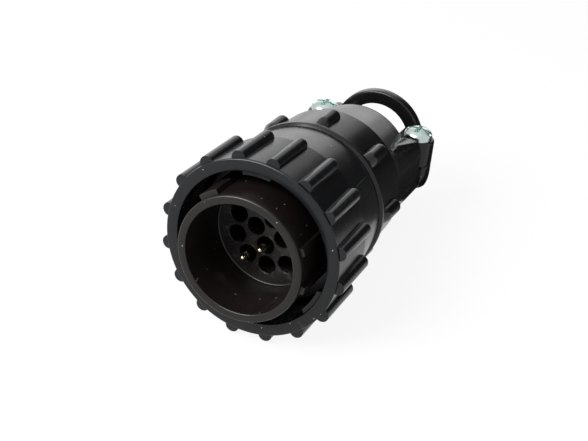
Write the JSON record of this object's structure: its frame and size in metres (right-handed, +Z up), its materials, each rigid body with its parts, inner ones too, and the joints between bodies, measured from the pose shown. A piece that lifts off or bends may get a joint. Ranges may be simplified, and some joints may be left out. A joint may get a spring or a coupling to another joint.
{
  "type": "circular connector plug",
  "caption": "Round black multi-pole plug with a ribbed turning ring, keyed nose with recessed contacts, and a cable clamp whose saddle strap is held by screws.",
  "frame": {"origin": "bottom centre of the plug's box as it lies on two ribs of its ring and one rib of its clamp", "axes": "+Y runs from the nose to the cable end, and the plug's own axis dips 5.6 degrees below it towards the cable; +Z is up; the screws' heads face up"},
  "size_m": [0.0364, 0.0656, 0.0371],
  "materials": {
    "ring_plastic": "satin black moulded thermoplastic",
    "shell_plastic": "satin brownish black moulded thermoplastic",
    "clamp_plastic": "semi-gloss black moulded thermoplastic",
    "contact_metal": "bright plated pin",
    "spring_steel": "stainless spring",
    "screw_zinc": "bright zinc plate"
  },
  "bodies": {
    "shell": {"plug_shell": "shell_plastic", "pin_contact_outer": "contact_metal", "pin_contact_inner": "contact_metal", "contact_clip_outer": "spring_steel", "contact_clip_inner": "spring_steel", "cable_clamp": "clamp_plastic"},
    "ring": {"coupling_ring": "ring_plastic"},
    "strap": {"clamp_strap": "clamp_plastic"},
    "screw_near": {"clamp_screw_near": "screw_zinc"},
    "screw_far": {"clamp_screw_far": "screw_zinc"}
  },
  "joints": [
    {"name": "ring_turn", "type": "hinge", "parent": "shell", "child": "ring", "pos_m": [0, -0.01491, 0.01785], "axis": [0, 0.9952, -0.0975], "continuous": true},
    {"name": "strap_lift", "type": "slide", "parent": "shell", "child": "strap", "axis": [0.0584, 0.0973, 0.9935], "range_m": [0, 0.0032]},
    {"name": "screw_near_turn", "type": "hinge", "parent": "strap", "child": "screw_near", "pos_m": [0.01038, 0.02544, 0.01329], "axis": [0.0584, 0.0973, 0.9935], "range_deg": [0, 1440]},
    {"name": "screw_far_turn", "type": "hinge", "parent": "strap", "child": "screw_far", "pos_m": [-0.01038, 0.02556, 0.0145], "axis": [0.0584, 0.0973, 0.9935], "range_deg": [0, 1440]}
  ],
  "couplings": [
    {"joint": "screw_near_turn", "follows": "strap_lift", "rad_per_m": 7854},
    {"joint": "screw_far_turn", "follows": "strap_lift", "rad_per_m": 7854}
  ]
}
